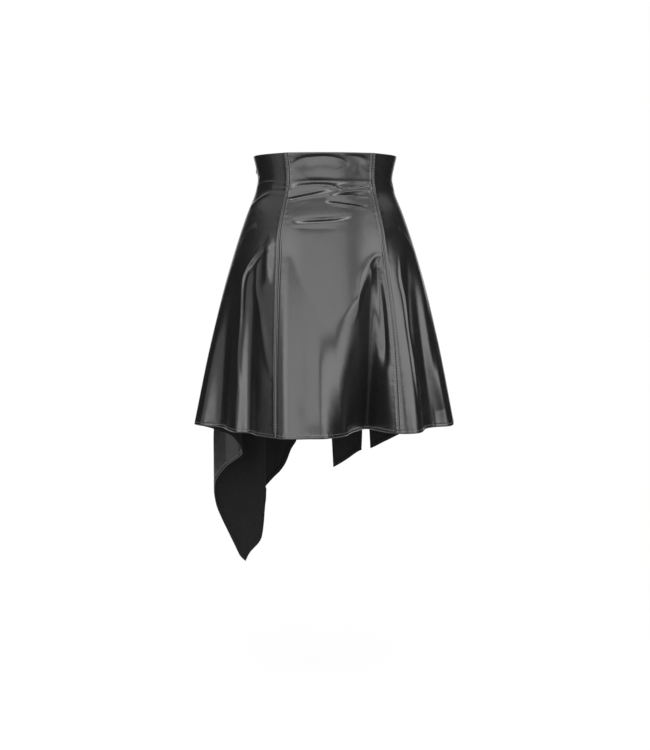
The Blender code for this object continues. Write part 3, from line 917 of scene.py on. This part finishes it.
# ----------------------------------------------------------
# The left front gore, which falls to the long point. It is sewn down the centre front to the
# slit, open below that, and joined to the back at the side seam that holds the zip.
# ----------------------------------------------------------
POINT_SEAM = SeamEdge(
    (EdgePoint(SLIT_TOP, -175), EdgePoint(-420, -172.5), EdgePoint(-525, -168.5)), SLIT_TOP
)
FRONT_POINT_CREASES = (
    Crease(4.0, 5.6, -1.8, 0.5, ((-174, -9), (-150, -5), (-128, -9), (-105, -8))),
    Crease(3.6, 5.0, -1.3, 0.4, ((-170, -38), (-150, -31), (-134, -26))),
    Crease(4.0, 5.6, -1.5, 0.5, ((-148, -55), (-132, -58), (-116, -53))),
    Crease(4.5, 6.2, -0.9, 0.4, ((-160, 28), (-145, 33), (-130, 30))),
)
make_gore(
    Gore("front_point", POINT_SEAM, LEFT_SIDE_SEAM, 3.0, 8.8, FRONT_POINT_CREASES),
)

# ----------------------------------------------------------
# The concealed zip in the left side seam: a woven tape with a nylon coil on its inner face,
# sewn to the seam allowances, and a dark metal slider whose pull tab hangs outside.
# ----------------------------------------------------------
ZIP_ANGLE = -106
ZIP_TOP = TOP_EDGE - 4
ZIP_FOOT = TOP_EDGE - 198
COIL_DEPTH = 3.5  # from the leather's outer face to the middle of the coil
COIL_PITCH = 1.5
COIL_WIDTH = 1.3  # half the width of one coil's loops
COIL_HEIGHT = 0.45  # half their height
COIL_WIRE = 0.26  # radius of the nylon
COIL_APART = 0.8  # from the seam to the middle of each coil
TURN_STEPS = 10
TAPE_STEPS = 60
TAPE_SEAM = 7.5  # from the zip's middle to the stitches that hold the tape
TAPE_INSIDE = 3.15  # from the leather's outer face to the tape's inner face
WEAVE_TURNS = (45, -45)  # degrees that the two sets of ribs lean
WEAVE_SCALE = 700.0


def behind_zip(heights, across, depth):
    """Places beside the zip's middle line and in from the leather, and the inward normals."""
    angles = inside_edge(ZIP_ANGLE + 0 * heights, heights, across)
    out = outward(angles, heights)
    depth = np.broadcast_to(depth, heights.shape)[:, None]
    return skirt_point(angles, heights) - depth * out, -out


def coil_rings(side):
    """The rings of one of the two interlocked coils, on the side -1 or 1 of the seam."""
    steps = int((ZIP_TOP - ZIP_FOOT) / COIL_PITCH * TURN_STEPS)
    heights = np.linspace(ZIP_TOP, ZIP_FOOT, steps)
    turn = 2 * np.pi * np.arange(steps) / TURN_STEPS + (np.pi if side > 0 else 0)
    across = side * COIL_APART + COIL_WIDTH * np.cos(turn)
    path, _ = behind_zip(heights, across, COIL_DEPTH + COIL_HEIGHT * np.sin(turn))
    way = np.gradient(path, axis=0)
    way = way / np.linalg.norm(way, axis=1, keepdims=True)
    first = np.cross(way, (0, 0, 1.0))
    first = first / np.linalg.norm(first, axis=1, keepdims=True)
    second = np.cross(way, first)
    around = np.linspace(0, 2 * np.pi, THREAD_SIDES, endpoint=False)[:, None]
    return path[:, None] + COIL_WIRE * (
        np.cos(around) * first[:, None] + np.sin(around) * second[:, None]
    )


def make_tape_finish():
    """Black polyester tape in a close herringbone weave."""
    material, tree, shader, place = start_material("black_herringbone_tape")
    weave = None
    for turn in WEAVE_TURNS:
        turned = tree.nodes.new("ShaderNodeVectorRotate")
        turned.rotation_type = "Y_AXIS"
        set_inputs(tree, turned, {"Vector": place, "Angle": math.radians(turn)})
        wave = tree.nodes.new("ShaderNodeTexWave")
        along = turned.outputs["Vector"]
        set_inputs(tree, wave, {"Vector": along, "Scale": WEAVE_SCALE, "Distortion": 0.6})
        ribs = wave.outputs["Fac"]
        weave = ribs if weave is None else value_node(tree, "MAXIMUM", weave, ribs)
    clouds = noise_node(tree, place, 90.0)
    share = value_node(tree, "MULTIPLY", weave, clouds)
    look = {
        "Base Color": blend_colours(
            tree, share, (0.006, 0.006, 0.007, 1), (0.024, 0.024, 0.026, 1)
        ),
        "Roughness": map_range(tree, clouds, 0.78, 0.9),
        "Normal": add_bump(tree, weave, 0.00012),
    }
    set_inputs(tree, shader, look)
    return material


def make_metal_finish():
    """Dark gunmetal plating, brushed along its length and worn a little."""
    material, tree, shader, place = start_material("dark_gunmetal")
    stretched = tree.nodes.new("ShaderNodeMapping")
    set_inputs(tree, stretched, {"Vector": place, "Scale": (6000.0, 6000.0, 300.0)})
    brushed = noise_node(tree, stretched.outputs["Vector"], 1.0, 3.0)
    worn = noise_node(tree, place, 450.0, 3.0)
    look = {
        "Base Color": blend_colours(
            tree, worn, (0.035, 0.035, 0.038, 1), (0.085, 0.083, 0.082, 1)
        ),
        "Metallic": 1.0,
        "Roughness": map_range(tree, brushed, 0.24, 0.42),
        "Normal": add_bump(tree, brushed, 0.00002),
    }
    set_inputs(tree, shader, look)
    return material


TAPE_FINISH = make_tape_finish()
METAL_FINISH = make_metal_finish()
for node_name, zip_finish in (
    ("zip_tape", TAPE_FINISH),
    ("zip_slider", METAL_FINISH),
    ("zip_pull", METAL_FINISH),
):
    for material_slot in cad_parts[node_name].material_slots:
        material_slot.material = zip_finish

zip_coil = closed_tubes("zip_coil", np.stack([coil_rings(-1), coil_rings(1)]), TAPE_FINISH)
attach(zip_coil, "skirt")

tape_heights = np.linspace(ZIP_TOP, ZIP_FOOT, TAPE_STEPS)
tape_rows = [
    stitch_points(*behind_zip(tape_heights, side * TAPE_SEAM + 0 * tape_heights, TAPE_INSIDE))
    for side in (-1, 1)
]
tape_thread = closed_tubes("zip_tape_stitches", np.concatenate(tape_rows), GLINT_PAINTED_THREAD_FINISH)
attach(tape_thread, "skirt")

# ----------------------------------------------------------
# The floor and the white surroundings of the studio.
# ----------------------------------------------------------
FLOOR_DROP = 0.30
FLOOR_RADIUS = 9.0
FLOOR_SIDES = 64
SHADOW_RADIUS = 1.6
FLOOR_GLOW = 0.85
WORLD_LIGHT = 0.35

floor_mesh = bpy.data.meshes.new("studio_floor")
floor_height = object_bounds()[0][2] - FLOOR_DROP
ring = [
    (FLOOR_RADIUS * math.cos(turn), FLOOR_RADIUS * math.sin(turn), 0)
    for turn in np.linspace(0, 2 * math.pi, FLOOR_SIDES, endpoint=False)
]
floor_mesh.from_pydata(ring, [], [list(range(FLOOR_SIDES))])
floor = bpy.data.objects.new("studio_floor", floor_mesh)
floor.location.z = floor_height
bpy.context.scene.collection.objects.link(floor)


def seen_as_background(tree):
    """1 for camera, glossy and transmission rays, 0 for the light that falls on the skirt."""
    path = tree.nodes.new("ShaderNodeLightPath")
    seen = value_node(tree, "ADD", path.outputs["Is Camera Ray"], path.outputs["Is Glossy Ray"])
    seen = value_node(tree, "ADD", seen, path.outputs["Is Transmission Ray"])
    return value_node(tree, "MINIMUM", seen, 1.0)


def make_floor():
    """White all round, with a soft shadow kept under the skirt."""
    material = bpy.data.materials.new("pale_floor")
    material.use_nodes = True
    tree = material.node_tree
    shader = tree.nodes["Principled BSDF"]
    set_inputs(tree, shader, {"Base Color": (0.93, 0.93, 0.93, 1), "Roughness": 0.9})
    glow = tree.nodes.new("ShaderNodeEmission")
    glow.inputs["Color"].default_value = (1, 1, 1, 1)
    place = tree.nodes.new("ShaderNodeTexCoord").outputs["Object"]
    away = tree.nodes.new("ShaderNodeVectorMath")
    away.operation = "LENGTH"
    tree.links.new(place, away.inputs[0])
    fade = tree.nodes.new("ShaderNodeMapRange")
    fade.interpolation_type = "SMOOTHSTEP"
    reach = {"From Min": SHADOW_RADIUS * 0.3, "From Max": SHADOW_RADIUS}
    glows = {"To Min": FLOOR_GLOW, "To Max": 1.0}
    set_inputs(tree, fade, {"Value": away.outputs["Value"], **reach, **glows})
    mix = tree.nodes.new("ShaderNodeMixShader")
    share = value_node(tree, "MULTIPLY", seen_as_background(tree), fade.outputs["Result"])
    shaders = {1: shader.outputs["BSDF"], 2: glow.outputs["Emission"]}
    set_inputs(tree, mix, {"Fac": share, **shaders})
    tree.links.new(mix.outputs["Shader"], tree.nodes["Material Output"].inputs["Surface"])
    return material


floor_mesh.materials.append(make_floor())

world = bpy.data.worlds.new("studio_world")
bpy.context.scene.world = world
world.use_nodes = True
world_tree = world.node_tree
background = world_tree.nodes["Background"]
background.inputs["Color"].default_value = (1, 1, 1, 1)
seen_share = seen_as_background(world_tree)
strength = value_node(world_tree, "MULTIPLY", seen_share, 1 - WORLD_LIGHT)
strength = value_node(world_tree, "ADD", strength, WORLD_LIGHT)
world_tree.links.new(strength, background.inputs["Strength"])

# ----------------------------------------------------------
# The lamps: soft boxes round the camera's side, one high above them and one in front. Black
# flags beside, above and below the skirt and between the lamps keep the white room out of the
# leather's shine.
# ----------------------------------------------------------
Lamp = namedtuple("Lamp", "name place width height watts")
LAMPS = (
    Lamp("back_soft_box", (0.0, -3.0, 0.35), 2.4, 2.7, 61),
    Lamp("left_soft_box", (-1.95, -2.45, 0.5), 1.5, 2.4, 46),
    Lamp("right_soft_box", (2.45, -1.75, 0.5), 2.0, 2.4, 56),
    Lamp("high_soft_box", (0.0, -1.92, 2.56), 3.0, 1.0, 63),
    Lamp("front_soft_box", (0.2, 2.0, 2.4), 2.4, 1.6, 55),
)
LAMP_TARGET = Vector((0.0, 0.0, -0.25))
SIDE_FLAG_RADIUS = 2.9
SIDE_FLAG_BEARINGS = (82, 150)  # from the camera's direction, on both sides
SIDE_FLAG_HEIGHTS = (-1.05, 1.3)
SIDE_FLAG_STEPS = 15
# A flag stretched between two level rails, each (distance towards the camera, height).
RailFlag = namedtuple("RailFlag", "name half_width rails")
RAIL_FLAGS = (
    RailFlag("ceiling_flag", 1.6, ((1.42, 2.95), (-1.0, 2.95))),
    RailFlag("gap_flag", 1.3, ((2.66, 1.78), (2.4, 2.2))),
    RailFlag("low_flag", 1.4, ((2.3, -1.0), (0.7, -1.0))),
)


def add_flag(name, first_row, second_row):
    """A sheet of black felt between two rows of places, which the camera doesn't see."""
    count = len(first_row)
    faces = [(i, i + 1, i + 1 + count, i + count) for i in range(count - 1)]
    mesh = bpy.data.meshes.new(name)
    mesh.from_pydata([*first_row, *second_row], [], faces)
    black = bpy.data.materials.new("black_felt")
    black.use_nodes = True
    felt = black.node_tree.nodes["Principled BSDF"]
    dull = {"Base Color": (0.015, 0.015, 0.015, 1), "Roughness": 1.0}
    set_inputs(black.node_tree, felt, dull)
    mesh.materials.append(black)
    flag = bpy.data.objects.new(name, mesh)
    flag.visible_camera = False
    bpy.context.scene.collection.objects.link(flag)


def side_row(side, height):
    radius = SIDE_FLAG_RADIUS
    return [
        (side * radius * math.sin(turn), -radius * math.cos(turn), height)
        for turn in np.radians(np.linspace(*SIDE_FLAG_BEARINGS, SIDE_FLAG_STEPS))
    ]


for name, side in (("left_flag", -1), ("right_flag", 1)):
    add_flag(name, *(side_row(side, height) for height in SIDE_FLAG_HEIGHTS))
for flag in RAIL_FLAGS:
    add_flag(
        flag.name,
        *(
            [(x, -away, height) for x in (-flag.half_width, flag.half_width)]
            for away, height in flag.rails
        ),
    )

for lamp in LAMPS:
    light = bpy.data.lights.new(lamp.name, "AREA")
    light.shape = "RECTANGLE"
    light.size = lamp.width
    light.size_y = lamp.height
    light.energy = lamp.watts
    holder = bpy.data.objects.new(lamp.name, light)
    holder.location = lamp.place
    aim = LAMP_TARGET - Vector(lamp.place)
    holder.rotation_euler = aim.to_track_quat("-Z", "Y").to_euler()
    holder.visible_camera = False
    bpy.context.scene.collection.objects.link(holder)

bpy.context.scene.view_settings.view_transform = "Standard"
